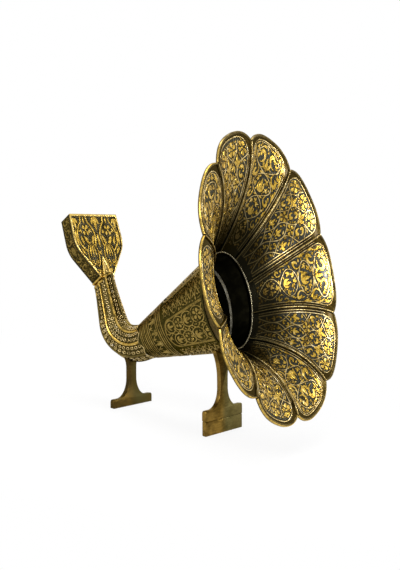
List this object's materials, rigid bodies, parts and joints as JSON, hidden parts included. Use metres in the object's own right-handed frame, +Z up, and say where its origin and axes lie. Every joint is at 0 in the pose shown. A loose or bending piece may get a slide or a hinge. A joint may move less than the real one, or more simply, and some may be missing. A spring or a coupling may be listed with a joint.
{
  "type": "phone horn",
  "caption": "Brass passive phone amplifier shaped like a gramophone horn: petal bell, cone, swan neck, slanted phone pocket and plate legs.",
  "frame": {"origin": "middle of the rear foot's underside, on the floor", "axes": "+X the way the bell looks, +Y across the horn, +Z up from the floor"},
  "size_m": [0.2458, 0.2584, 0.261],
  "materials": {
    "petal_brass": "embossed and engraved brass sheet, dark patina in the ground, polished relief",
    "seam_brass": "polished brass bead with worn crest",
    "throat_brass": "dark patinated brass, bright on the rings",
    "horn_brass": "engraved brass sheet, olive brown patina",
    "neck_brass": "engraved brass tube, brown patina, bright corner ridges",
    "pocket_brass": "engraved brass sheet, dark patina in the ground",
    "rim_brass": "polished brass edging",
    "leg_brass": "satin brass plate, light brown patina"
  },
  "bodies": {
    "root": {"petal_01": "petal_brass", "petal_02": "petal_brass", "petal_03": "petal_brass", "petal_04": "petal_brass", "petal_05": "petal_brass", "petal_06": "petal_brass", "petal_07": "petal_brass", "petal_08": "petal_brass", "petal_09": "petal_brass", "petal_10": "petal_brass", "seam_strip_01": "seam_brass", "seam_strip_02": "seam_brass", "seam_strip_03": "seam_brass", "seam_strip_04": "seam_brass", "seam_strip_05": "seam_brass", "seam_strip_06": "seam_brass", "seam_strip_07": "seam_brass", "seam_strip_08": "seam_brass", "seam_strip_09": "seam_brass", "seam_strip_10": "seam_brass", "throat_flange": "throat_brass", "throat_ring": "throat_brass", "throat_sleeve": "throat_brass", "throat_lip": "throat_brass", "joint_sleeve": "throat_brass", "horn_cone": "horn_brass", "neck_tube": "neck_brass", "neck_collar": "neck_brass", "neck_tongue": "neck_brass", "pocket_front": "pocket_brass", "pocket_back": "pocket_brass", "pocket_left": "pocket_brass", "pocket_right": "pocket_brass", "pocket_rim": "rim_brass", "rear_leg": "leg_brass", "front_leg": "leg_brass", "front_riser": "leg_brass"}
  },
  "joints": []
}
